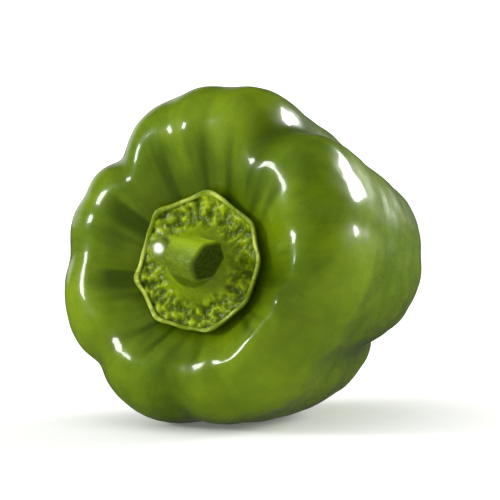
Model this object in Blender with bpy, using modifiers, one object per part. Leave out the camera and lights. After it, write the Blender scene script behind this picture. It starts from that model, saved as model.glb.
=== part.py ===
"""A green bell pepper, as picked, lying on its side with its stem end forward.

Two pieces: the lobed fruit, and the calyx with its cut stem, which sits in the hollow of the shoulders.
Both are turned about the fruit's own axis and then shaped by formula, standing upright on the blossom end:
+Z runs along the axis to the stem. The finished pieces are then laid down. In the final frame +Z is up,
the stem points to -Y, and the origin is the middle of the base of the whole pepper's box. Metres.
"""

import math

import bmesh
import bpy
import numpy as np
from mathutils import Matrix

MM = 0.001

# Fruit, before its grooves are pressed in
FRUIT_RADIUS = 41.3 * MM
SHOULDER_HEIGHT = 40.5 * MM  # from the middle of the fruit to the plain shoulder
TIP_DEPTH = 55.9 * MM  # from the middle of the fruit to the plain blossom end
SQUARENESS = 2.9  # exponent of the outline: 2 is an ellipse
TAPER = 0.21  # share of the radius gained towards the shoulder and lost towards the tip
BELLY = 0.01  # share of the radius lost at both ends
OVAL = 0.055  # share of the radius gained across one way and lost across the other
OVAL_TOWARDS = 56.0  # degrees
CURVE = 4.3 * MM  # how far the axis has curved away at CURVE_REACH from the middle
CURVE_REACH = 50.0 * MM
CURVE_TOWARDS = 65.0  # degrees
SLANT = 0.064  # rise of the shoulders towards one side, for each unit of radius
SLANT_TOWARDS = 40.0  # degrees

# Hollow round the stem, and the dimple at the blossom end
HOLLOW_DEPTH = 17.0 * MM
HOLLOW_RADIUS = 24.8 * MM
HOLLOW_POWER = 3.6  # how flat the hollow's floor is
HOLLOW_ASIDE = 4.9 * MM  # how far the hollow and the stem stand off the axis
HOLLOW_ASIDE_TOWARDS = -73.0  # degrees
ASIDE_FADE = 1.25  # how much further out than the hollow that shift reaches
ASIDE_RISE = 20.0 * MM  # height over which that shift sets in
DIMPLE_DEPTH = 11.0 * MM
DIMPLE_RADIUS = 14.0 * MM

# Grooves between the lobes, counted counter-clockwise from +X as seen from the stem:
# angle and half width in degrees, then depth as a share of the radius at the shoulder, the side and the tip.
# Four of them reach the blossom end and part its lobes.
GROOVES = (
    (11, 7, 0.05, 0.0, 0.02),
    (55, 9, 0.13, 0.14, 0.32),
    (86, 8, 0.04, 0.02, 0.02),
    (106, 6, 0.025, 0.0, 0.0),
    (137, 9, 0.11, 0.085, 0.32),
    (159, 6, 0.025, 0.0, 0.0),
    (183, 9, 0.06, 0.02, 0.04),
    (225, 9, 0.09, 0.05, 0.30),
    (264, 9, 0.09, 0.055, 0.06),
    (286, 7, 0.05, 0.0, 0.0),
    (320, 10, 0.03, 0.04, 0.28),
    (334, 6, 0.07, 0.0, 0.0),
)
SHOULDER_DROP = 26.0 * MM  # how far a groove of depth 1 lowers the shoulder
TIP_RISE = 30.0 * MM  # how far a groove of depth 1 lifts the blossom end

# Calyx: the cornered green plate on the hollow's floor
CALYX_RADIUS = 15.8 * MM
CALYX_CORNERS = (0, 32, 81, 137, 195, 233, 286, 328)  # degrees
CORNER_REACH = 0.12  # share of the radius that a corner stands out
CORNER_WIDTH = 13.0  # degrees
CALYX_GAP = 0.35 * MM  # clearance to the fruit under it
CALYX_LIFT = 0.6 * MM  # how far its edge stands further off the fruit
CALYX_EDGE = 0.9 * MM  # thickness of its edge
LIP_WIDTH = 0.9 * MM  # raised lip just inside the edge
LIP_HEIGHT = 0.3 * MM

# Stem, cut short and bent over
STEM_FOOT_RADIUS = 6.4 * MM
STEM_FOOT_RISE = 3.2 * MM  # from the calyx's lip to where the foot ends
FOOT_SLOPE = 2.5  # how soon the plate's rise to the foot sets in: 1 is a plain cone
STEM_RADIUS = 5.3 * MM
STEM_WAIST = 0.5  # share of the stem's length over which the foot narrows to STEM_RADIUS
STEM_END_RADIUS = 5.6 * MM
STEM_LENGTH = 22.0 * MM
CUT_EDGE = 0.12  # rounding of the cut end's edge, as a share of its radius
STEM_STRAIGHT = 1.5 * MM  # straight above the foot, before the bend
STEM_BEND_RADIUS = 14.0 * MM
STEM_BEND_TOWARDS = -22.0  # degrees, counted as the grooves are
STEM_RIDGES = 6
STEM_RIDGE_HEIGHT = 0.04  # share of the stem's radius

# How it lies: the stem end leans up, because the shoulders are wider than the blossom end
LEAN = 12.4  # degrees
ROLL = 2.0  # degrees, about the fruit's own axis
SINK = 0.45 * MM  # how far its own weight flattens the skin that it lies on

# Mesh density
FRUIT_ROWS = 48
FRUIT_SIDES = 84
CAP_SIDES = 44
UNDERSIDE_ROWS = 7
PLATE_ROWS = 5
STEM_ROWS = 12
MERGE = 1e-6  # points closer than this are one point

FRUIT_GREEN = (0.105, 0.235, 0.012, 1.0)
STEM_GREEN = (0.200, 0.330, 0.020, 1.0)


def heading(degrees):
    """Unit vector across the axis, in a direction counted from +X as the grooves are."""
    return np.array([math.cos(math.radians(degrees)), math.sin(math.radians(degrees))])


def bump(angle, centre, half_width):
    """1 at the centre angle, falling off smoothly on both sides, all round a full turn."""
    off = 2.0 * np.sin((angle - math.radians(centre)) / 2.0) / math.radians(half_width)
    return 1.0 / (1.0 + off * off)


def hollow(radius):
    """Depth of the hollow round the stem at a distance from its middle, as a share of its full depth."""
    return np.exp(-((radius / HOLLOW_RADIUS) ** HOLLOW_POWER))


def dimple(radius):
    """Depth of the blossom end's dimple at a distance from its middle, as a share of its full depth."""
    return np.exp(-((radius / DIMPLE_RADIUS) ** 2))


def floor_height(radius):
    """Height of the plain hollow's surface at a distance from its middle."""
    return SHOULDER_HEIGHT - HOLLOW_DEPTH * hollow(radius)


def polar(points):
    """Distance from the axis and angle about it."""
    return np.hypot(points[:, 0], points[:, 1]), np.arctan2(points[:, 1], points[:, 0])


def fruit_profile():
    """Radius and height down the plain fruit, from the hollow's centre to the blossom end's."""
    turn = np.linspace(0.0, math.pi, FRUIT_ROWS + 1)
    out, up = np.sin(turn), np.cos(turn)
    reach = (out**SQUARENESS + np.abs(up) ** SQUARENESS) ** (-1.0 / SQUARENESS)
    out, up = out * reach, up * reach
    radius = FRUIT_RADIUS * out * (1.0 + TAPER * up - BELLY * up * up)
    shoulder = SHOULDER_HEIGHT * up - HOLLOW_DEPTH * hollow(radius)
    blossom = TIP_DEPTH * up + DIMPLE_DEPTH * dimple(radius)
    return radius, np.where(up > 0.0, shoulder, blossom)


def grown(points):
    """Presses the grooves into points of the plain fruit or calyx, and gives them its slant and curve."""
    radius, angle = polar(points)
    height = points[:, 2].copy()
    top = (0.5 + 0.5 * height / SHOULDER_HEIGHT).clip(0.0, 1.0) ** 3
    tip = (0.5 - 0.5 * height / TIP_DEPTH).clip(0.0, 1.0) ** 3
    outside = (1.0 - np.where(height > 0.0, hollow(radius), 0.0)) ** 2
    off_dimple = 1.0 - np.where(height < 0.0, dimple(radius), 0.0)
    depth = np.zeros(len(points))
    lift = np.zeros(len(points))
    for centre, half_width, shoulder, side, blossom in GROOVES:
        groove = bump(angle, centre, half_width)
        depth += groove * (side + (shoulder - side) * top + (blossom - side) * tip)
        lift += groove * (blossom * TIP_RISE * tip - shoulder * SHOULDER_DROP * top)
    radius *= 1.0 - depth * outside
    radius *= 1.0 + OVAL * np.cos(2.0 * (angle - math.radians(OVAL_TOWARDS))) * outside
    across = radius[:, None] * np.column_stack((np.cos(angle), np.sin(angle)))
    height += lift * outside * off_dimple
    height += SLANT * top * (across @ heading(SLANT_TOWARDS))
    away = CURVE * (height / CURVE_REACH) ** 2
    rise = (height / ASIDE_RISE).clip(0.0, 1.0)
    aside = HOLLOW_ASIDE * rise**2 * (3.0 - 2.0 * rise) * hollow(radius / ASIDE_FADE)
    across += np.outer(away, heading(CURVE_TOWARDS)) + np.outer(aside, heading(HOLLOW_ASIDE_TOWARDS))
    return np.column_stack((across, height))


def cap_profile():
    """Radius and height of the calyx and the upright stem, from the cut's middle down to the underside's."""
    lip = floor_height(CALYX_RADIUS) + CALYX_GAP + CALYX_LIFT + CALYX_EDGE
    foot = lip + STEM_FOOT_RISE
    edge = CUT_EDGE * STEM_END_RADIUS
    cut = foot + STEM_LENGTH
    rows = [(0.0, cut), (0.5 * STEM_END_RADIUS, cut), (STEM_END_RADIUS - edge, cut)]
    for share in np.linspace(1.0, 0.0, STEM_ROWS):
        narrowing = math.sin(min(share / STEM_WAIST, 1.0) * math.pi / 2.0)
        radius = STEM_FOOT_RADIUS + (STEM_RADIUS - STEM_FOOT_RADIUS) * narrowing
        radius += (STEM_END_RADIUS - STEM_RADIUS) * share**4
        rows.append((radius, foot + (STEM_LENGTH - edge) * share))
    for share in np.linspace(0.0, 1.0, PLATE_ROWS + 1)[1:]:
        radius = STEM_FOOT_RADIUS + (CALYX_RADIUS - LIP_WIDTH - STEM_FOOT_RADIUS) * share
        rows.append((radius, lip + STEM_FOOT_RISE * (1.0 - share) ** FOOT_SLOPE))
    rows.append((CALYX_RADIUS - LIP_WIDTH / 2.0, lip + LIP_HEIGHT))
    rows.append((CALYX_RADIUS, lip))
    for share in np.linspace(1.0, 0.0, UNDERSIDE_ROWS):
        radius = CALYX_RADIUS * share
        rows.append((radius, floor_height(radius) + CALYX_GAP + CALYX_LIFT * share**4))
    return np.array(rows).T, foot


def cornered(points, foot):
    """Draws the calyx's edge out into its corners, up the hollow's wall, and raises the stem's ridges."""
    radius, angle = polar(points)
    on_plate = ((radius - STEM_FOOT_RADIUS) / (CALYX_RADIUS - STEM_FOOT_RADIUS)).clip(0.0, 1.0)
    on_stem = ((points[:, 2] - foot) / STEM_STRAIGHT).clip(0.0, 1.0)
    reach = CORNER_REACH * sum(bump(angle, corner, CORNER_WIDTH) for corner in CALYX_CORNERS)
    scale = 1.0 + reach * on_plate**2 + STEM_RIDGE_HEIGHT * np.cos(STEM_RIDGES * angle) * on_stem
    climb = np.where(on_plate > 0.0, floor_height(radius * scale) - floor_height(radius), 0.0)
    return np.column_stack((points[:, :2] * scale[:, None], points[:, 2] + climb))


def bent(points, foot, middle):
    """Bends the stem over above its foot, in the plane through its middle."""
    out = (points[:, :2] - middle[:2]) @ heading(STEM_BEND_TOWARDS)
    start = foot + STEM_STRAIGHT
    turn = ((points[:, 2] - start) / STEM_BEND_RADIUS).clip(0.0)
    from_centre = STEM_BEND_RADIUS - out
    shift = np.outer(from_centre * (1.0 - np.cos(turn)), heading(STEM_BEND_TOWARDS))
    height = np.where(turn > 0.0, start + from_centre * np.sin(turn), points[:, 2])
    return np.column_stack((points[:, :2] + shift, height))


def turned(name, radius, height, sides):
    """A closed body turned from a profile that starts and ends on the axis and runs from the top down."""
    profile = bpy.data.meshes.new(name + "_profile")
    points = [(r, 0.0, z) for r, z in zip(radius, height)]
    profile.from_pydata(points, [(i, i + 1) for i in range(len(points) - 1)], [])
    blank = bpy.data.objects.new(name + "_profile", profile)
    bpy.context.scene.collection.objects.link(blank)
    screw = blank.modifiers.new("Turn", "SCREW")
    screw.steps = screw.render_steps = sides
    screw.use_merge_vertices = True
    screw.merge_threshold = MERGE
    graph = bpy.context.evaluated_depsgraph_get()
    mesh = bpy.data.meshes.new_from_object(blank.evaluated_get(graph))
    bpy.data.objects.remove(blank)
    shape = bmesh.new()
    shape.from_mesh(mesh)
    bmesh.ops.remove_doubles(shape, verts=shape.verts, dist=MERGE)
    bmesh.ops.triangulate(shape, faces=shape.faces)
    shape.to_mesh(mesh)
    shape.free()
    mesh.name = name
    return mesh


def points_of(mesh):
    """The mesh's points as an array of rows."""
    flat = np.empty(len(mesh.vertices) * 3)
    mesh.vertices.foreach_get("co", flat)
    return flat.reshape(-1, 3)


def put_points(mesh, points):
    """Moves the mesh's points to the rows of an array."""
    mesh.vertices.foreach_set("co", points.astype(np.float32).ravel())
    mesh.update()


def fruit():
    """The lobed fruit, upright."""
    mesh = turned("fruit", *fruit_profile(), FRUIT_SIDES)
    put_points(mesh, grown(points_of(mesh)))
    return mesh


def calyx_and_stem():
    """The calyx with its stem, upright, in the fruit's hollow."""
    (radius, height), foot = cap_profile()
    mesh = turned("calyx_and_stem", radius, height, CAP_SIDES)
    middle = grown(np.array([[0.0, 0.0, foot]]))[0]
    put_points(mesh, bent(grown(cornered(points_of(mesh), foot)), foot, middle))
    return mesh


def lie_down(meshes):
    """Lays the upright pieces on their side, flattens what they lie on, and sets the origin under them."""
    turn = Matrix.Rotation(math.radians(90.0 - LEAN), 4, "X") @ Matrix.Rotation(math.radians(ROLL), 4, "Z")
    for mesh in meshes:
        mesh.transform(turn)
    every = np.vstack([points_of(mesh) for mesh in meshes])
    low, high = every.min(axis=0), every.max(axis=0)
    base = np.array([(low[0] + high[0]) / 2.0, (low[1] + high[1]) / 2.0, low[2] + SINK])
    for mesh in meshes:
        points = points_of(mesh) - base
        points[:, 2] = points[:, 2].clip(0.0)
        put_points(mesh, points)


def finish(name, colour, roughness, coat):
    """A piece's own material."""
    material = bpy.data.materials.new(name)
    material.use_nodes = True
    shader = material.node_tree.nodes["Principled BSDF"]
    shader.inputs["Base Color"].default_value = colour
    shader.inputs["Metallic"].default_value = 0.0
    shader.inputs["Roughness"].default_value = roughness
    shader.inputs["Coat Weight"].default_value = coat
    return material


def main():
    """Clears the scene and builds the pepper in a collection of its own."""
    for old in list(bpy.data.objects):
        bpy.data.objects.remove(old)
    pepper = bpy.data.collections.new("bell_pepper")
    bpy.context.scene.collection.children.link(pepper)
    body, cap = fruit(), calyx_and_stem()
    lie_down((body, cap))
    body.materials.append(finish("glossy_green_skin", FRUIT_GREEN, roughness=0.28, coat=0.6))
    cap.materials.append(finish("stem_green", STEM_GREEN, roughness=0.55, coat=0.0))
    for mesh in (body, cap):
        mesh.shade_smooth()
        pepper.objects.link(bpy.data.objects.new(mesh.name, mesh))


main()
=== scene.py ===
# %% [markdown]
# A green bell pepper lying on its side, with its stem end turned to the viewer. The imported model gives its
# size and place, and this script gives it its finished surface. A pepper is two things that grew together:
# the glossy lobed fruit, and the leathery green calyx with the stem that it hung from. Each gets a fine mesh
# and a material of its own, then a floor, lights and a camera show them.

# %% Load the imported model
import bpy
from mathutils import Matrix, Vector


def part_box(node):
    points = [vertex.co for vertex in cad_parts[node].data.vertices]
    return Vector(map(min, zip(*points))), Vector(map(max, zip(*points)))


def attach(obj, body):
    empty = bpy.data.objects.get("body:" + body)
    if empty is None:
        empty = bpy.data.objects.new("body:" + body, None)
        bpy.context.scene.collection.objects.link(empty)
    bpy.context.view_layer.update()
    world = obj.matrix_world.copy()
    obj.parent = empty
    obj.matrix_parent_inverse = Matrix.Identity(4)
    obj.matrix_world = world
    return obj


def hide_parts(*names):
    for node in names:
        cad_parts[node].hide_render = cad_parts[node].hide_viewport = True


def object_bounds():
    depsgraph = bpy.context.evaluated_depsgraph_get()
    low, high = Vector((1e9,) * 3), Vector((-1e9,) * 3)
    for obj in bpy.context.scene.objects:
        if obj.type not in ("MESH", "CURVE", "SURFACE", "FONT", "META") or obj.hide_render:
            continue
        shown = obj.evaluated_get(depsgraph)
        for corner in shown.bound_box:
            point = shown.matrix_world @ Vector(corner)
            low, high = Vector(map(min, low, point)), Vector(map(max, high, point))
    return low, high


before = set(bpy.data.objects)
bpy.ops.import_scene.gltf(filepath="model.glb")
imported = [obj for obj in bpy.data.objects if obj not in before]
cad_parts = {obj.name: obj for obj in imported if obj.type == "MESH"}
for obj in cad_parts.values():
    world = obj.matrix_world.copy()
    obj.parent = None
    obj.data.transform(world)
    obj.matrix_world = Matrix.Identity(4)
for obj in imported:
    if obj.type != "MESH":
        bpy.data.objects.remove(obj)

cad_low, cad_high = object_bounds()
print("packed box in mm:", [round(1000 * side, 1) for side in cad_high - cad_low])

# %% What the script works with
import math

import bpy
import numpy as np
from mathutils import Matrix, Vector

MM = 0.001
scene = bpy.context.scene

# %% [markdown]
# The photograph looks at the stem end from slightly above and from some way to its right. Its perspective is
# flat, as from a long lens two metres away, so the camera stands that far off and the lens is chosen from
# the width that the picture takes in.

# %% Camera
CAMERA_AZIMUTH = 29.0  # degrees to the right of the stem end
CAMERA_ELEVATION = 6.0  # degrees above the floor
CAMERA_DISTANCE = 2.0
PICTURE_WIDTH = 126.0 * MM  # what the frame takes in at the pepper
SENSOR_WIDTH = 36.0  # millimetres, as a lens is


def direction(azimuth, elevation):
    """Unit vector from the pepper towards an azimuth, counted from -Y towards +X, and an elevation."""
    turn, rise = math.radians(azimuth), math.radians(elevation)
    return Vector((math.sin(turn) * math.cos(rise), -math.cos(turn) * math.cos(rise), math.sin(rise)))


def aimed(name, data, place, target):
    """Adds a camera or a lamp at a place, pointing at a target."""
    made = bpy.data.objects.new(name, data)
    made.location = place
    made.rotation_euler = (target - place).to_track_quat("-Z", "Y").to_euler()
    scene.collection.objects.link(made)
    return made


middle = (cad_low + cad_high) / 2.0
lens = bpy.data.cameras.new("long_lens")
lens.sensor_width = SENSOR_WIDTH
lens.lens = SENSOR_WIDTH * CAMERA_DISTANCE / PICTURE_WIDTH
camera_place = middle + CAMERA_DISTANCE * direction(CAMERA_AZIMUTH, CAMERA_ELEVATION)
scene.camera = aimed("camera", lens, camera_place, middle)
print("lens in mm:", round(lens.lens))

# %% [markdown]
# Geometry Nodes and materials are both made of small arithmetic. Wired by hand, a formula of ten terms takes
# thirty nodes and is hard to read. Here one class wraps an output socket and overloads Python's operators,
# so that `1 - mask` adds a Math node and gives the wrapped result. Any other kind of node comes from one
# method, which sets the node's settings first and its sockets after.

# %% A socket that does arithmetic
class Value:
    """An output socket in a node tree. Arithmetic on it adds Math nodes to the tree."""

    def __init__(self, graph, socket):
        self.graph = graph
        self.socket = socket

    def maths(self, operation, *inputs):
        """Adds a Math node on the inputs."""
        sockets = dict(enumerate(inputs))
        return self.graph.node("ShaderNodeMath", {"operation": operation}, sockets)

    def __add__(self, other):
        return self.maths("ADD", self, other)

    def __radd__(self, other):
        return self.maths("ADD", other, self)

    def __sub__(self, other):
        return self.maths("SUBTRACT", self, other)

    def __rsub__(self, other):
        return self.maths("SUBTRACT", other, self)

    def __mul__(self, other):
        return self.maths("MULTIPLY", self, other)

    def __rmul__(self, other):
        return self.maths("MULTIPLY", other, self)

    def __truediv__(self, other):
        return self.maths("DIVIDE", self, other)

    def __rtruediv__(self, other):
        return self.maths("DIVIDE", other, self)

    def __pow__(self, other):
        return self.maths("POWER", self, other)

    def __neg__(self):
        return self.maths("MULTIPLY", self, -1.0)

    def __abs__(self):
        return self.maths("ABSOLUTE", self)


# %% A tree that nodes are added to
class Graph:
    """A shader or Geometry Nodes tree."""

    def __init__(self, tree):
        self.tree = tree

    def node(self, kind, settings=None, sockets=None, output=0):
        """Adds a node: its settings, then its sockets' values or links. Gives an output, if it has any."""
        made = self.tree.nodes.new(kind)
        for name, setting in (settings or {}).items():
            setattr(made, name, setting)
        for name, value in (sockets or {}).items():
            if isinstance(value, Value):
                self.tree.links.new(value.socket, made.inputs[name])
            else:
                made.inputs[name].default_value = value
        return Value(self, made.outputs[output]) if len(made.outputs) else made

    def parts(self, vector):
        """The three components of a vector."""
        made = self.node("ShaderNodeSeparateXYZ", {}, {0: vector}).socket.node
        return [Value(self, socket) for socket in made.outputs]

    def vector(self, x, y, z):
        """A vector from three components."""
        return self.node("ShaderNodeCombineXYZ", {}, {0: x, 1: y, 2: z})

    def scaled(self, vector, factor):
        """A vector times a number."""
        return self.node("ShaderNodeVectorMath", {"operation": "SCALE"}, {0: vector, "Scale": factor})

    def noise(self, vector, size, detail):
        """Soft noise from 0 to 1, whose patches are about the given size in the vector's own units."""
        sockets = {"Vector": vector, "Scale": 1.0 / size, "Detail": detail, "Roughness": 0.5}
        return self.node("ShaderNodeTexNoise", {"noise_dimensions": "3D"}, sockets)

    def mixed(self, share, first, second):
        """A colour between two colours."""
        return self.node("ShaderNodeMix", {"data_type": "RGBA"}, {0: share, 6: first, 7: second}, output=2)


# %% [markdown]
# The fruit's form is one formula, and the calyx follows the same hollow, so it has to pass through the same
# formula. The fruit is worked out by nodes and the calyx by numpy. These four helpers take either, which
# lets the formula be written once.

# %% Functions that take a socket or an array
def sin(x):
    return x.maths("SINE", x) if isinstance(x, Value) else np.sin(x)


def cos(x):
    return x.maths("COSINE", x) if isinstance(x, Value) else np.cos(x)


def exp(x):
    return x.maths("EXPONENT", x) if isinstance(x, Value) else np.exp(x)


def above(x, limit):
    """1 where x is above the limit, otherwise 0."""
    return x.maths("GREATER_THAN", x, limit) if isinstance(x, Value) else np.where(x > limit, 1.0, 0.0)


def within(x):
    """x held between 0 and 1."""
    if isinstance(x, Value):
        return x.maths("MINIMUM", x.maths("MAXIMUM", x, 0.0), 1.0)
    return np.clip(x, 0.0, 1.0)


# %% [markdown]
# A bell pepper is a rounded block that tapers to the blossom end. Its cross-section is cut by grooves: four
# deep ones part the lobes and run the whole length, and shallow ones only crease the shoulders. Round the
# stem the shoulders drop into a flat-floored hollow, and the blossom end has a dimple. The sizes are those
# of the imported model, standing upright as it grew, with the stem up.

# %% Sizes of the fruit
FRUIT_RADIUS = 41.3 * MM
SHOULDER_HEIGHT = 40.5 * MM
TIP_DEPTH = 55.9 * MM
SQUARENESS = 2.9  # exponent of the outline: 2 is an ellipse
TAPER = 0.21  # share of the radius gained towards the shoulder and lost towards the tip
BELLY = 0.01  # share of the radius lost at both ends
OVAL = 0.055  # share of the radius gained across one way and lost across the other
OVAL_TOWARDS = math.radians(56.0)
CURVE = 4.3 * MM  # how far the axis has curved away at CURVE_REACH
CURVE_REACH = 50.0 * MM
CURVE_TOWARDS = math.radians(65.0)
SLANT = 0.064  # rise of the shoulders towards one side, for each unit of radius
SLANT_TOWARDS = math.radians(40.0)
HOLLOW_DEPTH = 17.0 * MM
HOLLOW_RADIUS = 24.8 * MM
HOLLOW_POWER = 3.6  # how flat the hollow's floor is
HOLLOW_ASIDE = 4.9 * MM  # how far the hollow and the stem stand off the axis
HOLLOW_ASIDE_TOWARDS = math.radians(-73.0)
ASIDE_FADE = 1.25  # how much further out than the hollow that shift reaches
ASIDE_RISE = 20.0 * MM  # height over which that shift sets in
DIMPLE_DEPTH = 11.0 * MM
DIMPLE_RADIUS = 14.0 * MM
SHOULDER_DROP = 26.0 * MM  # how far a groove of depth 1 lowers the shoulder
TIP_RISE = 30.0 * MM  # how far a groove of depth 1 lifts the blossom end
# angle and half width in degrees, then depth at the shoulder, the side and the tip as a share of the radius
GROOVES = (
    (11, 7, 0.05, 0.0, 0.02),
    (55, 9, 0.13, 0.14, 0.32),
    (86, 8, 0.04, 0.02, 0.02),
    (106, 6, 0.025, 0.0, 0.0),
    (137, 9, 0.11, 0.085, 0.32),
    (159, 6, 0.025, 0.0, 0.0),
    (183, 9, 0.06, 0.02, 0.04),
    (225, 9, 0.09, 0.05, 0.30),
    (264, 9, 0.09, 0.055, 0.06),
    (286, 7, 0.05, 0.0, 0.0),
    (320, 10, 0.03, 0.04, 0.28),
    (334, 6, 0.07, 0.0, 0.0),
)


# %% The formula of the form
def bump(angle, centre, half_width):
    """1 at the centre angle, falling off smoothly on both sides; angles in degrees but for the first."""
    off = sin((angle - math.radians(centre)) * 0.5) * (2.0 / math.radians(half_width))
    return 1.0 / (off * off + 1.0)


def hollow(radius):
    """Depth of the stem's hollow as a share of its full depth."""
    return exp(-((radius * (1.0 / HOLLOW_RADIUS)) ** HOLLOW_POWER))


def dimple(radius):
    """Depth of the blossom end's dimple as a share of its full depth."""
    return exp(-((radius * (1.0 / DIMPLE_RADIUS)) ** 2.0))


def floor_height(radius):
    """Height of the plain hollow's surface."""
    return SHOULDER_HEIGHT - HOLLOW_DEPTH * hollow(radius)


def plain_fruit(turn):
    """Radius and height of the ungrooved fruit, at 0 in the hollow's centre and pi at the blossom end's."""
    out, up = abs(sin(turn)), cos(turn)
    reach = (out**SQUARENESS + abs(up) ** SQUARENESS) ** (-1.0 / SQUARENESS)
    out, up = out * reach, up * reach
    radius = FRUIT_RADIUS * out * (1.0 + TAPER * up - BELLY * up * up)
    upper = above(up, 0.0)
    shoulder = up * SHOULDER_HEIGHT - hollow(radius) * HOLLOW_DEPTH
    blossom = up * TIP_DEPTH + dimple(radius) * DIMPLE_DEPTH
    return radius, upper * shoulder + (1.0 - upper) * blossom


def grooved(angle, top, tip):
    """How deep the grooves are at an angle, as a share of the radius, and how far they lift the surface."""
    depth, lift = 0.0, 0.0
    for centre, half_width, shoulder, side, blossom in GROOVES:
        groove = bump(angle, centre, half_width)
        depth = groove * (top * (shoulder - side) + tip * (blossom - side) + side) + depth
        lift = groove * (tip * (blossom * TIP_RISE) - top * (shoulder * SHOULDER_DROP)) + lift
    return depth, lift


def grown(radius, angle, height):
    """Presses the grooves into a point of the plain form and curves it: x, y, z and the groove's depth."""
    upper = above(height, 0.0)
    top = within(height * (0.5 / SHOULDER_HEIGHT) + 0.5) ** 3.0
    tip = within(height * (-0.5 / TIP_DEPTH) + 0.5) ** 3.0
    outside = (1.0 - upper * hollow(radius)) ** 2.0
    off_dimple = 1.0 - (1.0 - upper) * dimple(radius)
    depth, lift = grooved(angle, top, tip)
    radius = radius * (1.0 - depth * outside) * (1.0 + cos((angle - OVAL_TOWARDS) * 2.0) * outside * OVAL)
    x, y = radius * cos(angle), radius * sin(angle)
    height = height + lift * outside * off_dimple
    slant = x * math.cos(SLANT_TOWARDS) + y * math.sin(SLANT_TOWARDS)
    height = height + top * slant * SLANT
    away = (height * (1.0 / CURVE_REACH)) ** 2.0 * CURVE
    rise = within(height * (1.0 / ASIDE_RISE))
    aside = rise * rise * (3.0 - 2.0 * rise) * hollow(radius * (1.0 / ASIDE_FADE)) * HOLLOW_ASIDE
    x = x + away * math.cos(CURVE_TOWARDS) + aside * math.cos(HOLLOW_ASIDE_TOWARDS)
    y = y + away * math.sin(CURVE_TOWARDS) + aside * math.sin(HOLLOW_ASIDE_TOWARDS)
    return x, y, height, depth * outside


print("radius at the shoulder in mm:", round(1000 * plain_fruit(math.radians(45.0))[0], 1))

# %% [markdown]
# The skin is tight over the flesh but never a perfect surface: it has slow swellings a centimetre across,
# faint ripples that run with the lobes, and puckers where it dips into the hollow. They are too small to
# read as shape, and yet every highlight is broken up by them. They could be painted as bump, but then the
# outline and the exported mesh would stay machine-smooth, so the nodes press them into the mesh, always
# inwards, to keep the fruit in its box.

# %% Relief of the skin
SKIN_INSET = 0.06 * MM  # keeps the fine mesh inside the flat facets' box
NOISE_FLOOR = 0.3  # soft noise hardly ever goes lower
SWELLING_SIZE = 12.0 * MM
SWELLING_DEPTH = 1.2 * MM
RIPPLE_SIZE = 0.16  # across, where the fruit is a cylinder of radius 1
RIPPLE_STRETCH = 0.3  # how much shorter a length along the fruit counts than one across
RIPPLE_DEPTH = 0.28 * MM
PUCKER_SIZE = 0.34  # as for the ripples
PUCKER_DEPTH = 3.6 * MM
PUCKER_ONSET = 12.0  # how soon the puckers set in as the skin sinks into the hollow
FINE_SIZE = 2.6 * MM
FINE_DEPTH = 0.035 * MM


def skin_relief(graph, place, strand, sunk):
    """How deep the skin lies under the smooth form. The hollow's wall, half sunk, is puckered."""
    swelling = within(graph.noise(place, SWELLING_SIZE, detail=1.0) - NOISE_FLOOR)
    ripple = within(graph.noise(strand, RIPPLE_SIZE, detail=1.5) - NOISE_FLOOR)
    pucker = within(graph.noise(strand, PUCKER_SIZE, detail=0.0) - NOISE_FLOOR)
    pucker = pucker * (1.0 - exp(sunk * -PUCKER_ONSET)) * (1.0 - sunk)
    fine = graph.noise(place, FINE_SIZE, detail=1.0)
    smooth = swelling * SWELLING_DEPTH + pucker * PUCKER_DEPTH
    return smooth + ripple * RIPPLE_DEPTH + fine * FINE_DEPTH + SKIN_INSET


print("swellings are", round(1000 * SWELLING_SIZE, 1), "mm wide")

# %% [markdown]
# A main form that follows a rule suits Geometry Nodes: a flat grid is the plan of the skin, with one side
# going round the fruit and the other from the stem to the blossom end. One Set Position node wraps it up by
# the formula. The seam and the two poles are then merged, so the result is closed. What the material needs
# to know later, such as how deep in a groove a point lies, is stored on the points on the way.

# %% The tree that grows the fruit
MERGE = 0.001 * MM


def tree_with_inputs(name, sizes):
    """A Geometry Nodes tree with a named input for each size, its graph and its inputs."""
    tree = bpy.data.node_groups.new(name, "GeometryNodeTree")
    tree.interface.new_socket("Geometry", in_out="INPUT", socket_type="NodeSocketGeometry")
    tree.interface.new_socket("Geometry", in_out="OUTPUT", socket_type="NodeSocketGeometry")
    for label, size in sizes.items():
        kind = "NodeSocketInt" if isinstance(size, int) else "NodeSocketFloat"
        tree.interface.new_socket(label, in_out="INPUT", socket_type=kind).default_value = size
    graph = Graph(tree)
    group = graph.node("NodeGroupInput").socket.node
    return graph, {socket.name: Value(graph, socket) for socket in group.outputs if socket.name}


def stored(graph, geometry, name, value, kind="FLOAT"):
    """Keeps a value on the points under a name."""
    sockets = {"Geometry": geometry, "Name": name, "Value": value}
    return graph.node("GeometryNodeStoreNamedAttribute", {"data_type": kind, "domain": "POINT"}, sockets)


def kept(graph, name, kind="FLOAT"):
    """A value that was kept on the points."""
    return graph.node("GeometryNodeInputNamedAttribute", {"data_type": kind}, {"Name": name})


def close_tree(graph, geometry, material):
    """Ends a tree in real geometry with its material."""
    real = graph.node("GeometryNodeRealizeInstances", {}, {"Geometry": geometry})
    done = graph.node("GeometryNodeSetMaterial", {}, {"Geometry": real, "Material": material})
    graph.node("NodeGroupOutput", {}, {0: done})
    return graph.tree


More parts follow.
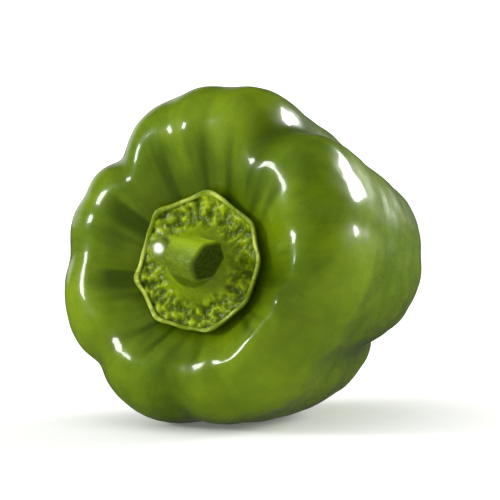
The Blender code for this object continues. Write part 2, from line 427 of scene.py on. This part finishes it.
def fruit_tree(sizes, material):
    """The tree that wraps a grid into the fruit."""
    graph, size = tree_with_inputs("grow_fruit", sizes)
    counts = {"Vertices X": size["Sides"] + 1, "Vertices Y": size["Rows"] + 1}
    grid = graph.node("GeometryNodeMeshGrid", {}, {"Size X": 1.0, "Size Y": 1.0, **counts})
    u, v, _ = graph.parts(graph.node("GeometryNodeInputPosition"))
    angle, turn = u * math.tau, (0.5 - v) * math.pi
    radius, height = plain_fruit(turn)
    x, y, z, depth = grown(radius, angle, height)
    strand = graph.vector(cos(angle), sin(angle), turn * size["Ripple Stretch"])
    skin = stored(graph, grid, "strand", strand, "FLOAT_VECTOR")
    skin = stored(graph, skin, "groove", depth)
    skin = stored(graph, skin, "hollow", hollow(radius) * above(height, 0.0))
    skin = graph.node("GeometryNodeSetPosition", {}, {"Geometry": skin, "Position": graph.vector(x, y, z)})
    skin = graph.node("GeometryNodeMergeByDistance", {}, {"Geometry": skin, "Distance": size["Merge"]})
    place = graph.node("GeometryNodeInputPosition")
    relief = skin_relief(graph, place, kept(graph, "strand", "FLOAT_VECTOR"), kept(graph, "hollow"))
    relief = relief * size["Relief"]
    inwards = graph.scaled(graph.node("GeometryNodeInputNormal"), -relief)
    skin = graph.node("GeometryNodeSetPosition", {}, {"Geometry": skin, "Offset": inwards})
    return close_tree(graph, skin, material)


def finished_mesh(blank, tree, sizes):
    """Runs a tree on an object and gives the plain mesh that it makes. The object is removed."""
    modifier = blank.modifiers.new(tree.name, "NODES")
    modifier.node_group = tree
    for socket in tree.interface.items_tree:
        if socket.in_out == "INPUT" and socket.name in sizes:
            modifier[socket.identifier] = sizes[socket.name]
    graph = bpy.context.evaluated_depsgraph_get()
    mesh = bpy.data.meshes.new_from_object(blank.evaluated_get(graph))
    blank.modifiers.remove(modifier)
    bpy.data.objects.remove(blank)
    mesh.shade_smooth()
    return mesh


# %% [markdown]
# Both pieces are finished upright and then laid down together, as a pepper is that is set on a table: it
# leans back on two lobes, and its weight flattens the skin a little where it touches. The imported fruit's
# box says where it has to end up.

# %% Laying a piece down
LEAN = math.radians(12.4)
ROLL = math.radians(2.0)


def points_of(mesh):
    """The mesh's points as an array of rows."""
    flat = np.empty(len(mesh.vertices) * 3, np.float32)
    mesh.vertices.foreach_get("co", flat)
    return flat.reshape(-1, 3)


def put_points(mesh, points):
    """Moves the mesh's points to the rows of an array."""
    mesh.vertices.foreach_set("co", points.astype(np.float32).ravel())
    mesh.update()


def lay_down(mesh):
    """Turns an upright mesh on its side, not yet in its place."""
    turn = Matrix.Rotation(math.pi / 2.0 - LEAN, 4, "X") @ Matrix.Rotation(ROLL, 4, "Z")
    mesh.transform(turn)


def place_from_frame(mesh, node):
    """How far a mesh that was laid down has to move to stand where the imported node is."""
    points = points_of(mesh)
    low, high = Vector(points.min(axis=0)), Vector(points.max(axis=0))
    node_low, node_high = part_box(node)
    shift = (node_low + node_high - low - high) / 2.0
    shift.z = node_high.z - high.z
    return shift


def settle(mesh, shift):
    """Moves a mesh to its place and flattens what would sink into the floor."""
    points = points_of(mesh) + np.array(shift)
    points[:, 2] = points[:, 2].clip(0.0)
    put_points(mesh, points)


def piece(name, mesh):
    """Adds a finished mesh to the scene as an object at the origin."""
    made = bpy.data.objects.new(name, mesh)
    scene.collection.objects.link(made)
    return made


# %% [markdown]
# The skin of a green pepper is deep yellow-green under a clear waxy layer. The colour is never even: pale
# threads run with the lobes and broad patches are yellower. The grooves, the hollow and the creases of its
# wall are painted a darker green, as painted shade. The Principled shader's coat is the wax, and a little
# light goes under the skin into the wet flesh.

# %% Skin
SKIN_GREEN = (0.090, 0.156, 0.0011, 1.0)
YELLOW_GREEN = (0.194, 0.294, 0.0028, 1.0)
# painted shade: the darker green of the grooves, the hollow and the creases on its wall
PAINTED_SHADE_GREEN = (0.023, 0.048, 0.0003, 1.0)
PATCH_SIZE = 24.0 * MM
MOTTLING_SIZE = 5.0 * MM
THREAD_SIZE = 0.045
CREASE_SIZE = 0.22  # as for the threads, on the wall of the hollow
FLECK_SIZE = 0.55 * MM
PORE_SIZE = 0.35 * MM
GROOVE_SHADE_FULL = 0.16  # depth of a groove where the painted shade is darkest
# how much each pattern counts towards the yellower green, and what it is measured from
PATCH_WEIGHT = 2.2
PATCH_START = 0.32
MOTTLING_WEIGHT = 0.9
THREAD_WEIGHT = 0.5
FLECK_WEIGHT = 0.3
MIDDLE = 0.5  # the middle of soft noise
# how much each sunken place counts towards the painted shade
HOLLOW_SHADE_WEIGHT = 0.85
CREASE_SHADE_WEIGHT = 3.0
CREASE_STEEPNESS = 5.0
SHADE_DEEPEST = 0.85  # share of the painted shade's darker green where it is darkest


def new_material(name):
    """A material with its graph and its Principled shader."""
    made = bpy.data.materials.new(name)
    made.use_nodes = True
    return made, Graph(made.node_tree), made.node_tree.nodes["Principled BSDF"]


def set_shader(graph, shader, values):
    """Sets or links the Principled shader's sockets."""
    for name, value in values.items():
        if isinstance(value, Value):
            graph.tree.links.new(value.socket, shader.inputs[name])
        else:
            shader.inputs[name].default_value = value


def kept_value(graph, name, output=2):
    """A number that was stored on the points, read by a shader. Output 1 gives a vector."""
    return graph.node("ShaderNodeAttribute", {"attribute_name": name}, {}, output)


def skin_material():
    """Waxy green skin, with painted shade in its grooves, its hollow and the creases of the hollow's wall.
    """
    made, graph, shader = new_material("waxy_green_skin")
    place = graph.node("ShaderNodeTexCoord", {}, {}, output=3)
    strand = kept_value(graph, "strand", output=1)
    patches = graph.noise(place, PATCH_SIZE, detail=2.0)
    mottling = graph.noise(place, MOTTLING_SIZE, detail=2.0)
    threads = graph.noise(strand, THREAD_SIZE, detail=3.0)
    flecks = graph.noise(place, FLECK_SIZE, detail=2.0)
    yellow = (patches - PATCH_START) * PATCH_WEIGHT + (mottling - MIDDLE) * MOTTLING_WEIGHT
    yellow = within(yellow + (threads - MIDDLE) * THREAD_WEIGHT + (flecks - MIDDLE) * FLECK_WEIGHT)
    colour = graph.mixed(yellow, SKIN_GREEN, YELLOW_GREEN)
    # painted shade: the hollow, the grooves and the creases on the hollow's wall are mixed towards a darker
    # green
    sunk = kept_value(graph, "hollow")
    crease_shade = within((graph.noise(strand, CREASE_SIZE, detail=1.0) - MIDDLE) * CREASE_STEEPNESS)
    crease_shade = crease_shade * sunk * (1.0 - sunk) * CREASE_SHADE_WEIGHT
    deep = within(kept_value(graph, "groove") / GROOVE_SHADE_FULL + sunk * HOLLOW_SHADE_WEIGHT + crease_shade)
    colour = graph.mixed(deep * SHADE_DEEPEST, colour, PAINTED_SHADE_GREEN)
    pores = graph.noise(place, PORE_SIZE, detail=1.0)
    bump_sockets = {"Strength": 0.10, "Distance": 0.05 * MM, "Height": pores}
    values = {
        "Base Color": colour,
        "Roughness": flecks * 0.10 + 0.24,
        "Normal": graph.node("ShaderNodeBump", {}, bump_sockets),
        "Specular IOR Level": 0.20,
        "Coat Weight": 0.6,
        "Coat IOR": 1.45,
        "Coat Roughness": 0.09,
        "Subsurface Weight": 0.08,
        "Subsurface Scale": 2.5 * MM,
    }
    set_shader(graph, shader, values)
    shader.inputs["Subsurface Radius"].default_value = (0.9, 1.0, 0.1)
    return made


# %% Fruit
PACKED_SIDES = 84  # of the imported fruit, which is placed by the same formula
PACKED_ROWS = 48
FINE_SIDES = 288
FINE_ROWS = 300


def fruit_from(sides, rows, relief):
    """The fruit's mesh, laid down but not yet in its place."""
    sizes = {"Sides": sides, "Rows": rows, "Relief": relief, "Merge": MERGE}
    sizes["Ripple Stretch"] = RIPPLE_STRETCH
    blank = piece("fruit_blank", bpy.data.meshes.new("fruit_blank"))
    mesh = finished_mesh(blank, fruit_tree(sizes, skin_finish), sizes)
    lay_down(mesh)
    return mesh


skin_finish = skin_material()
place_shift = place_from_frame(fruit_from(PACKED_SIDES, PACKED_ROWS, 0.0), "fruit")
fruit_mesh = fruit_from(FINE_SIDES, FINE_ROWS, 1.0)
settle(fruit_mesh, place_shift)
fruit = piece("glossy_fruit", fruit_mesh)
print("fruit:", len(fruit_mesh.polygons), "faces")
print("moved to its place by mm:", [round(1000 * s, 2) for s in place_shift])

# %% [markdown]
# The calyx is what is left of the flower: a green plate with blunt corners, one for each sepal, that clings
# to the hollow's floor. It rises to the foot of the stem, which bends over and was cut short. The plate has
# a thin raised lip, one smooth blister beside the foot that catches the light, and between the foot and the
# lip it is crumpled like soft leather. Its profile is turned round the axis, drawn out into the corners, and
# bent, in plain array code, because every row of it has a meaning of its own.

# %% Sizes of the calyx and the stem
CALYX_RADIUS = 15.8 * MM
CALYX_CORNERS = (0, 32, 81, 137, 195, 233, 286, 328)  # degrees
CORNER_REACH = 0.12  # share of the radius that a corner stands out
CORNER_WIDTH = 13.0  # degrees
EDGE_WAVE = 0.004  # share of the radius that the edge wanders in and out between its corners
EDGE_WAVES = ((11.0, 2.0), (17.0, 0.0))  # how many waves go round the edge, and where they start
CALYX_GAP = 0.35 * MM  # clearance to the fruit under it
CALYX_LIFT = 0.6 * MM  # how far its edge stands further off the fruit
CALYX_EDGE = 0.9 * MM  # thickness of its edge
LIP_WIDTH = 0.9 * MM
LIP_HEIGHT = 0.3 * MM
STEM_FOOT_RADIUS = 6.4 * MM
STEM_FOOT_RISE = 3.2 * MM  # from the calyx's lip to where the foot ends
FOOT_SLOPE = 2.5  # how soon the plate's rise to the foot sets in: 1 is a plain cone
STEM_RADIUS = 5.3 * MM
STEM_WAIST = 0.5  # share of the stem's length over which the foot narrows to STEM_RADIUS
STEM_END_RADIUS = 5.6 * MM
STEM_LENGTH = 22.0 * MM
CUT_EDGE = 0.12  # rounding of the cut end's edge, as a share of its radius
STEM_STRAIGHT = 1.5 * MM  # straight above the foot, before the bend
STEM_BEND_RADIUS = 14.0 * MM
STEM_BEND_TOWARDS = math.radians(-22.0)
STEM_RIDGES = 6
STEM_RIDGE_HEIGHT = 0.04  # share of the stem's radius
BLISTER_OUT = 11.0 * MM  # the one smooth blister beside the foot
BLISTER_ANGLE = math.radians(163.0)
BLISTER_SPREAD = 3.3 * MM
BLISTER_SLOPE = 0.16  # turns its flat top so that it mirrors the left lamp
CAP_SIDES = 320
CUT_ROWS = 14
STEM_ROWS = 76
PLATE_ROWS = 34
LIP_ROWS = 10
UNDERSIDE_ROWS = 14


# %% Profile of the calyx and the stem
def cap_profile():
    """Rows from the cut down to the underside: radius, height, and shares of cut, stem, plate and lip."""
    lip = floor_height(CALYX_RADIUS) + CALYX_GAP + CALYX_LIFT + CALYX_EDGE
    foot = lip + STEM_FOOT_RISE
    edge = CUT_EDGE * STEM_END_RADIUS
    rows = []
    for share in np.linspace(0.0, 1.0, CUT_ROWS, endpoint=False):
        rows.append((share * (STEM_END_RADIUS - edge), foot + STEM_LENGTH, 1.0, 0.0, 0.0, 0.0))
    for share in np.linspace(1.0, 0.0, STEM_ROWS):
        narrowing = math.sin(min(share / STEM_WAIST, 1.0) * math.pi / 2.0)
        radius = STEM_FOOT_RADIUS + (STEM_RADIUS - STEM_FOOT_RADIUS) * narrowing
        radius += (STEM_END_RADIUS - STEM_RADIUS) * share**4
        rows.append((radius, foot + (STEM_LENGTH - edge) * share, 0.0, 1.0, 0.0, 0.0))
    inner = CALYX_RADIUS - LIP_WIDTH
    for share in np.linspace(0.0, 1.0, PLATE_ROWS + 1)[1:]:
        height = lip + STEM_FOOT_RISE * (1.0 - share) ** FOOT_SLOPE
        rows.append((STEM_FOOT_RADIUS + (inner - STEM_FOOT_RADIUS) * share, height, 0.0, 0.0, 1.0, 0.0))
    for share in np.linspace(0.0, 1.0, LIP_ROWS + 1)[1:]:
        height = lip + LIP_HEIGHT * math.sin(share * math.pi)
        rows.append((inner + LIP_WIDTH * share, height, 0.0, 0.0, 0.0, math.sin(share * math.pi)))
    for share in np.linspace(1.0, 0.0, UNDERSIDE_ROWS):
        radius = CALYX_RADIUS * share
        rows.append((radius, floor_height(radius) + CALYX_GAP + CALYX_LIFT * share**4, 0.0, 0.0, 0.0, 0.0))
    return np.array(rows), foot


# %% Turning a profile
def turned(name, rows, sides, masks):
    """A closed mesh turned from rows that start and end on the axis, and its radius, angle and height."""
    angle = np.tile(np.linspace(0.0, math.tau, sides, endpoint=False), len(rows) - 2)
    ring = np.repeat(rows[1:-1], sides, axis=0)
    every = np.vstack((rows[:1], ring, rows[-1:]))
    angle = np.concatenate(([0.0], angle, [0.0]))
    last = len(every) - 1
    faces = []
    for side in range(sides):
        after = (side + 1) % sides
        faces.append((0, 1 + side, 1 + after))
        faces.append((last, last - sides + after, last - sides + side))
        for start in range(1, last - sides, sides):
            faces.append((start + side, start + sides + side, start + sides + after, start + after))
    mesh = bpy.data.meshes.new(name)
    mesh.from_pydata(np.zeros((len(every), 3)), [], faces)
    for index, mask in enumerate(masks):
        mesh.attributes.new(mask, "FLOAT", "POINT").data.foreach_set("value", every[:, index + 2])
    return mesh, every[:, 0], angle, every[:, 1]


# %% Corners, bend and place in the hollow
def cornered(radius, angle, height, foot):
    """Draws the calyx's edge out into its corners, up the hollow's wall, and raises the stem's ridges."""
    on_plate = within((radius - STEM_FOOT_RADIUS) / (CALYX_RADIUS - STEM_FOOT_RADIUS))
    on_stem = within((height - foot) / STEM_STRAIGHT)
    reach = CORNER_REACH * sum(bump(angle, corner, CORNER_WIDTH) for corner in CALYX_CORNERS)
    reach = reach + EDGE_WAVE * sum(sin(angle * waves + start) for waves, start in EDGE_WAVES)
    scale = 1.0 + reach * on_plate**2 + STEM_RIDGE_HEIGHT * cos(STEM_RIDGES * angle) * on_stem
    climb = above(on_plate, 0.0) * (floor_height(radius * scale) - floor_height(radius))
    return radius * scale, angle, height + climb


def bent(x, y, height, foot, stem_middle):
    """Bends the stem over above its foot."""
    bend_x, bend_y = math.cos(STEM_BEND_TOWARDS), math.sin(STEM_BEND_TOWARDS)
    out = (x - stem_middle[0]) * bend_x + (y - stem_middle[1]) * bend_y
    start = foot + STEM_STRAIGHT
    turn = np.clip((height - start) / STEM_BEND_RADIUS, 0.0, None)
    from_centre = STEM_BEND_RADIUS - out
    shift = from_centre * (1.0 - np.cos(turn))
    height = np.where(turn > 0.0, start + from_centre * np.sin(turn), height)
    return np.column_stack((x + shift * bend_x, y + shift * bend_y, height))


def mesh_values(mesh, name):
    """The values that were stored on the mesh's points under a name."""
    values = np.empty(len(mesh.vertices), np.float32)
    mesh.attributes[name].data.foreach_get("value", values)
    return values


def cap_mesh():
    """The smooth calyx and stem, upright in the fruit's hollow."""
    rows, foot = cap_profile()
    mesh, radius, angle, height = turned("cap_blank", rows, CAP_SIDES, ("cut", "stem", "plate", "lip"))
    # painted light: marks the side that faces up once the pepper is laid down, for a brighter green on the
    # stem
    mesh.attributes.new("painted_top_light", "FLOAT", "POINT").data.foreach_set("value", within(np.sin(angle)) ** 2)
    strand = np.column_stack((np.cos(angle), np.sin(angle), height / STEM_LENGTH))
    mesh.attributes.new("strand", "FLOAT_VECTOR", "POINT").data.foreach_set("vector", strand.ravel())
    mesh.attributes.new("out", "FLOAT", "POINT").data.foreach_set("value", radius / CALYX_RADIUS)
    off = ((radius - BLISTER_OUT) ** 2 + (BLISTER_OUT * (angle - BLISTER_ANGLE)) ** 2) / BLISTER_SPREAD**2
    blister = np.exp(-(off**2)) * mesh_values(mesh, "plate")
    mesh.attributes.new("blister", "FLOAT", "POINT").data.foreach_set("value", blister)
    top = foot - BLISTER_SLOPE * (radius - STEM_FOOT_RADIUS)
    x, y, z, _ = grown(*cornered(radius, angle, height + blister * (top - height), foot))
    stem_middle = grown(np.zeros(1), np.zeros(1), np.full(1, foot))[:2]
    put_points(mesh, bent(x, y, z, foot, stem_middle))
    return mesh


# %% [markdown]
# The crumpled leather of the plate is a relief that follows the surface, so nodes make it. Small lumps
# cover an outer band of the plate, with faint veins between them that run out from the foot. A vein is what
# is left of soft noise when it is folded at its middle. The lip has shallow dents, the stem has fine fibres
# along it, and the cut face is rough and a little sunken.

# %% The tree that crumples the calyx
VEIN_SIZE = 0.22
VEIN_STEEPNESS = 4.0  # how narrow a vein is against the patches of the noise that it is folded from
VEIN_WEIGHT = 0.25
LUMP_SIZE = 1.9 * MM
LUMP_START = 0.36  # the soft noise above which a lump rises
LUMP_STEEPNESS = 3.0
LUMP_WEIGHT = 0.85
BAND_START = 0.5  # where the crumpled band begins, as a share of the calyx's radius
BAND_STEEPNESS = 5.0
WRINKLE_DEPTH = 1.0 * MM
FIBRE_SIZE = 0.10
FIBRE_DEPTH = 0.16 * MM
CUT_SIZE = 0.8 * MM
CUT_DEPTH = 0.3 * MM
DENT_SIZE = 0.20  # of the dents in the lip, where the calyx is a cylinder of radius 1
DENT_START = 0.42
DENT_STEEPNESS = 3.0
DENT_DEPTH = 0.4 * MM


def folded(noise):
    """A ridge along the middle of soft noise: 1 along its top, 0 away from it."""
    return within(1.0 - abs(noise - MIDDLE) * VEIN_STEEPNESS)


def crumple_tree(sizes, material):
    """The tree that presses wrinkles, fibres and the cut's roughness into the smooth cap."""
    graph, size = tree_with_inputs("crumple_cap", sizes)
    place = graph.node("GeometryNodeInputPosition")
    strand = kept(graph, "strand", "FLOAT_VECTOR")
    veins = folded(graph.noise(strand, VEIN_SIZE, detail=1.0))
    lumps = within((graph.noise(place, LUMP_SIZE, detail=2.0) - LUMP_START) * LUMP_STEEPNESS)
    wrinkles = within(veins * VEIN_WEIGHT + lumps * LUMP_WEIGHT)
    band = within((kept(graph, "out") - BAND_START) * BAND_STEEPNESS) * (1.0 - kept(graph, "blister"))
    plate, stem, cut = kept(graph, "plate") * band, kept(graph, "stem"), kept(graph, "cut")
    fibres = graph.noise(strand, FIBRE_SIZE, detail=2.0)
    rough = graph.noise(place, CUT_SIZE, detail=2.0)
    dents = within((graph.noise(strand, DENT_SIZE, detail=1.0) - DENT_START) * DENT_STEEPNESS)
    depth = plate * (1.0 - wrinkles) * size["Wrinkle Depth"]
    depth = depth + stem * fibres * size["Fibre Depth"] + cut * rough * size["Cut Depth"]
    depth = depth + kept(graph, "lip") * dents * size["Dent Depth"]
    # the tops of the lumps and the pits between them are kept for the painted light and painted shade of the
    # colour
    cap = stored(graph, size["Geometry"], "painted_lump_light", plate * wrinkles)
    cap = stored(graph, cap, "painted_pit_shade", plate * (1.0 - wrinkles))
    inwards = graph.scaled(graph.node("GeometryNodeInputNormal"), -depth)
    cap = graph.node("GeometryNodeSetPosition", {}, {"Geometry": cap, "Offset": inwards})
    return close_tree(graph, cap, material)


# %% [markdown]
# The stem and the calyx are a yellower green than the skin. On the crumpled plate the tops of the lumps are
# painted paler, as painted light, and the pits between them darker, as painted shade. The lip is almost
# straw-coloured, partly where it has dried and partly as a painted highlight on its raised edge. The cut
# face is dark, partly from its own drying fibres and partly as painted shade. The upper side of the stem is
# painted a bright yellow-green as painted light, and the other sides are deep green with paler fibres. Only
# the blister has a coat of wax.

# %% Stem and calyx
LEAF_GREEN = (0.150, 0.225, 0.0015, 1.0)
# painted shade in the pits between the lumps
PIT_SHADE_GREEN = (0.045, 0.078, 0.0005, 1.0)
# painted light on the tops of the lumps
LUMP_LIGHT_GREEN = (0.300, 0.400, 0.0040, 1.0)
# pale lip: partly a dried edge, partly a painted highlight on the raised rim
LIP_STRAW_AND_HIGHLIGHT = (0.480, 0.550, 0.1000, 1.0)
STEM_SIDE_GREEN = (0.060, 0.100, 0.0005, 1.0)
FIBRE_GREEN = (0.140, 0.215, 0.0010, 1.0)
# painted light on the stem's upper side
PAINTED_TOP_LIGHT_GREEN = (0.270, 0.400, 0.0010, 1.0)
# dark cut face: partly its own drying fibres, partly painted shade
CUT_AND_SHADE_GREEN = (0.020, 0.036, 0.0005, 1.0)
STREAK_SIZE = 0.07
MOTTLE_SIZE = 1.1 * MM
PALE_LIP_SIZE = 0.55  # length of the stretches of the lip that are pale, partly dried and partly painted highlight
LUMP_LIGHT_SHARE = 0.8  # how far the top of a lump takes on the painted light
PIT_SHADE_SHARE = 1.2
TOP_LIGHT_SHARE = 0.85
BLISTER_WAX = 0.9


def stretched(noise, contrast, loss):
    """Soft noise with more contrast, less a constant, held between 0 and 1."""
    return within(noise * contrast - loss)


def calyx_material():
    """Leathery green of the calyx and the stem, with its lip, its cut face, and painted light and shade."""
    made, graph, shader = new_material("leathery_calyx_green")
    place = graph.node("ShaderNodeTexCoord", {}, {}, output=3)
    strand = kept_value(graph, "strand", output=1)
    streaks = graph.noise(strand, STREAK_SIZE, detail=3.0)
    mottle = graph.noise(place, MOTTLE_SIZE, detail=3.0)
    plate = graph.mixed(stretched(mottle, 1.2, 0.35), LEAF_GREEN, STEM_SIDE_GREEN)
    # painted light on the tops of the lumps, painted shade in the pits between them
    plate = graph.mixed(kept_value(graph, "painted_lump_light") * LUMP_LIGHT_SHARE, plate, LUMP_LIGHT_GREEN)
    plate = graph.mixed(within(kept_value(graph, "painted_pit_shade") * PIT_SHADE_SHARE), plate, PIT_SHADE_GREEN)
    side = graph.mixed(stretched(streaks, 2.0, 0.6), STEM_SIDE_GREEN, FIBRE_GREEN)
    # painted light: the stem's upper side is mixed towards a bright yellow-green
    side = graph.mixed(kept_value(graph, "painted_top_light") * TOP_LIGHT_SHARE, side, PAINTED_TOP_LIGHT_GREEN)
    colour = graph.mixed(kept_value(graph, "stem"), plate, side)
    # the lip's pale stretches: partly dried, partly a painted highlight on its raised edge
    dried_and_highlit_lip = stretched(graph.noise(strand, PALE_LIP_SIZE, detail=1.0), 5.0, 2.0) * stretched(streaks, 3.0, 0.6)
    colour = graph.mixed(kept_value(graph, "lip") * dried_and_highlit_lip, colour, LIP_STRAW_AND_HIGHLIGHT)
    # the dark cut face, partly its own drying fibres and partly painted shade
    cut = graph.mixed(stretched(mottle, 1.5, 0.6), CUT_AND_SHADE_GREEN, STEM_SIDE_GREEN)
    grain = graph.node("ShaderNodeBump", {}, {"Strength": 0.3, "Distance": 0.1 * MM, "Height": mottle})
    colour = graph.mixed(kept_value(graph, "cut"), colour, cut)
    values = {
        "Base Color": colour,
        "Roughness": mottle * 0.2 + kept_value(graph, "stem") * 0.2 + 0.20,
        "Specular IOR Level": 0.15,
        "Coat Weight": kept_value(graph, "blister") * BLISTER_WAX,
        "Coat Roughness": 0.38,
        "Coat IOR": 2.2,
        "Normal": grain,
        "Subsurface Weight": 0.08,
        "Subsurface Scale": 1.5 * MM,
    }
    set_shader(graph, shader, values)
    shader.inputs["Subsurface Radius"].default_value = (0.7, 1.0, 0.2)
    return made


# %% Calyx and stem
cap_sizes = {
    "Wrinkle Depth": WRINKLE_DEPTH,
    "Fibre Depth": FIBRE_DEPTH,
    "Cut Depth": CUT_DEPTH,
    "Dent Depth": DENT_DEPTH,
}
cap = finished_mesh(piece("cap_blank", cap_mesh()), crumple_tree(cap_sizes, calyx_material()), cap_sizes)
lay_down(cap)
settle(cap, place_shift)
calyx = piece("crumpled_calyx_and_stem", cap)
print("calyx and stem:", len(cap.polygons), "faces")

# %% [markdown]
# Each piece moves with the model's root body, and the imported node that it replaces is hidden.

# %% Tying the pieces to the model
for made, node, finish in ((fruit, "fruit", "skin"), (calyx, "calyx_and_stem", "stem")):
    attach(made, "root")
    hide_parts(node)

# %% [markdown]
# The pepper lies on a plain white table that runs on past the picture, in a plain white room. Wax shows all
# that stands round it as a veil over the colour, so the room that the reflections see is mostly dark, with a
# faint band at the horizon and a pale backdrop that lines the left edge of the fruit. The room that lights
# the surfaces is brighter, with soft light from above and from a wide window on the left. The table glows
# where the lamps hardly reach it, so that it stays white in every view.

# %% Floor
FLOOR_SIZE = 8.0
FLOOR_WHITE = (0.90, 0.90, 0.89, 1.0)
NEAR_GLOW = (0.126, 0.126, 0.125, 1.0)  # a table lit from below, most of all far from the pepper
FAR_GLOW = (0.60, 0.60, 0.60, 1.0)
GLOW_FROM = 0.3  # distance from the pepper where the glow starts to grow, in metres
GLOW_TO = 1.2
MIRRORED_FLOOR = 0.06


def table_material():
    """White table. Its mirror image in the wax is dimmed, as a polarising filter would dim it."""
    made, graph, shader = new_material("white_table")
    place = graph.node("ShaderNodeTexCoord", {}, {}, output=3)
    distance = graph.node("ShaderNodeVectorMath", {"operation": "LENGTH"}, {0: place}, "Value")
    glow = graph.mixed(within((distance - GLOW_FROM) / (GLOW_TO - GLOW_FROM)), NEAR_GLOW, FAR_GLOW)
    values = {"Base Color": FLOOR_WHITE, "Roughness": 0.6, "Emission Color": glow, "Emission Strength": 1.0}
    set_shader(graph, shader, values)
    table = Value(graph, shader.outputs[0])
    image = graph.node("ShaderNodeEmission", {}, {"Color": FLOOR_WHITE, "Strength": MIRRORED_FLOOR})
    by_mirror = graph.node("ShaderNodeLightPath", {}, {}, "Is Glossy Ray")
    either = graph.node("ShaderNodeMixShader", {}, {0: by_mirror, 1: table, 2: image})
    graph.tree.links.new(either.socket, made.node_tree.nodes["Material Output"].inputs["Surface"])
    return made


half = FLOOR_SIZE / 2.0
floor_mesh = bpy.data.meshes.new("floor")
floor_corners = [(-half, -half, 0.0), (half, -half, 0.0), (half, half, 0.0), (-half, half, 0.0)]
floor_mesh.from_pydata(floor_corners, [], [(0, 1, 2, 3)])
floor_mesh.materials.append(table_material())
floor = piece("floor", floor_mesh)
print("floor:", FLOOR_SIZE, "m wide")

# %% Room
LIGHT_LOW = 0.06
LIGHT_ABOVE = 1.20
LIGHT_LEFT = 0.9
WINDOW_AZIMUTH = -70.0  # from the camera
WINDOW_ELEVATION = 25.0
WINDOW_WRAP = 0.6  # how far round the dome's light reaches from the window's side
BACKDROP_AZIMUTH = -155.0
BACKDROP_EDGE = 0.88  # cosine of the angle from its middle at which the backdrop ends
BACKDROP_STEEPNESS = 9.0
MIRRORED_BACK = 0.8
MIRRORED_DARK = 0.02
MIRRORED_BAND = 0.07
BAND_NARROWNESS = 4.0

world = bpy.data.worlds.new("room")
world.use_nodes = True
scene.world = world
room = Graph(world.node_tree)
sight = room.node("ShaderNodeTexCoord")
_, _, upward = room.parts(sight)
window = direction(CAMERA_AZIMUTH + WINDOW_AZIMUTH, WINDOW_ELEVATION)
backdrop = direction(CAMERA_AZIMUTH + BACKDROP_AZIMUTH, 0.0)
leftward = room.node("ShaderNodeVectorMath", {"operation": "DOT_PRODUCT"}, {0: sight, 1: window}, "Value")
backward = room.node("ShaderNodeVectorMath", {"operation": "DOT_PRODUCT"}, {0: sight, 1: backdrop}, "Value")
ray = room.node("ShaderNodeLightPath").socket.node
by_camera, by_mirror = Value(room, ray.outputs["Is Camera Ray"]), Value(room, ray.outputs["Is Glossy Ray"])
lighting = within(upward) * within(leftward + WINDOW_WRAP) * LIGHT_ABOVE
lighting = within(leftward) ** 2.0 * LIGHT_LEFT + lighting + LIGHT_LOW
mirrored = (1.0 - abs(upward)) ** BAND_NARROWNESS * MIRRORED_BAND + MIRRORED_DARK
mirrored = within((backward - BACKDROP_EDGE) * BACKDROP_STEEPNESS) * MIRRORED_BACK + mirrored
strength = by_mirror * mirrored + (1.0 - by_mirror) * lighting
strength = (1.0 - by_camera) * strength + by_camera
background = world.node_tree.nodes["Background"]
background.inputs["Color"].default_value = (1.0, 1.0, 1.0, 1.0)
room.tree.links.new(strength.socket, background.inputs["Strength"])
print("the window's light comes from:", [round(part, 2) for part in window])

# %% [markdown]
# The highlights tell where the lamps stand: a row of small ones runs round the shoulders, on the left of
# every swelling, so one lamp is at the left, and a broad one lies on the right-hand lobe, so a larger lamp
# stands behind on the right.

# %% Lamps
LAMPS = (
    # name, azimuth from the camera, elevation, distance, width, height, watts
    ("left_lamp", -80.0, 16.0, 1.5, 0.40, 0.45, 15.0),
    ("right_softbox", 123.0, 17.0, 1.2, 0.72, 0.46, 19.0),
)
for name, azimuth, elevation, distance, width, height, watts in LAMPS:
    lamp = bpy.data.lights.new(name, "AREA")
    lamp.shape = "RECTANGLE"
    lamp.size = width
    lamp.size_y = height
    lamp.energy = watts
    aimed(name, lamp, middle + distance * direction(CAMERA_AZIMUTH + azimuth, elevation), middle)
    print(name, "of", watts, "W stands", distance, "m away")
scene.view_settings.view_transform = "Standard"
